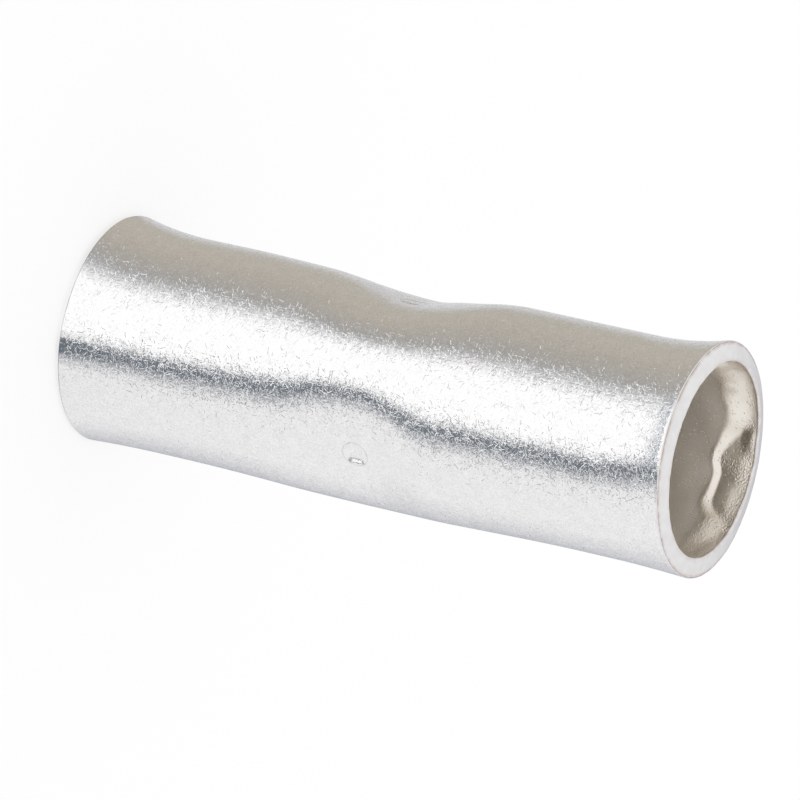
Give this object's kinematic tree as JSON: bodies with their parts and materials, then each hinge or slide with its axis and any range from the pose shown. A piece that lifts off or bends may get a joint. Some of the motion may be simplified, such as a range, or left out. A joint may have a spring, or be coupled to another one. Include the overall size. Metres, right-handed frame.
{
  "type": "butt splice connector",
  "caption": "Bare tinned copper butt splice tube with belled mouths and a dented wire stop at mid length, for crimping two stranded conductors end to end.",
  "frame": {"origin": "middle of the lower rim's face, on the tube's axis", "axes": "+Z along the tube's axis, from the lower rim to the upper one; +X through the middle of the first dent"},
  "size_m": [0.016, 0.016, 0.0446],
  "materials": {
    "tin_plate": "tumbled tin plate on copper, satin with fine scratches"
  },
  "bodies": {
    "root": {"sleeve": "tin_plate"}
  },
  "joints": []
}
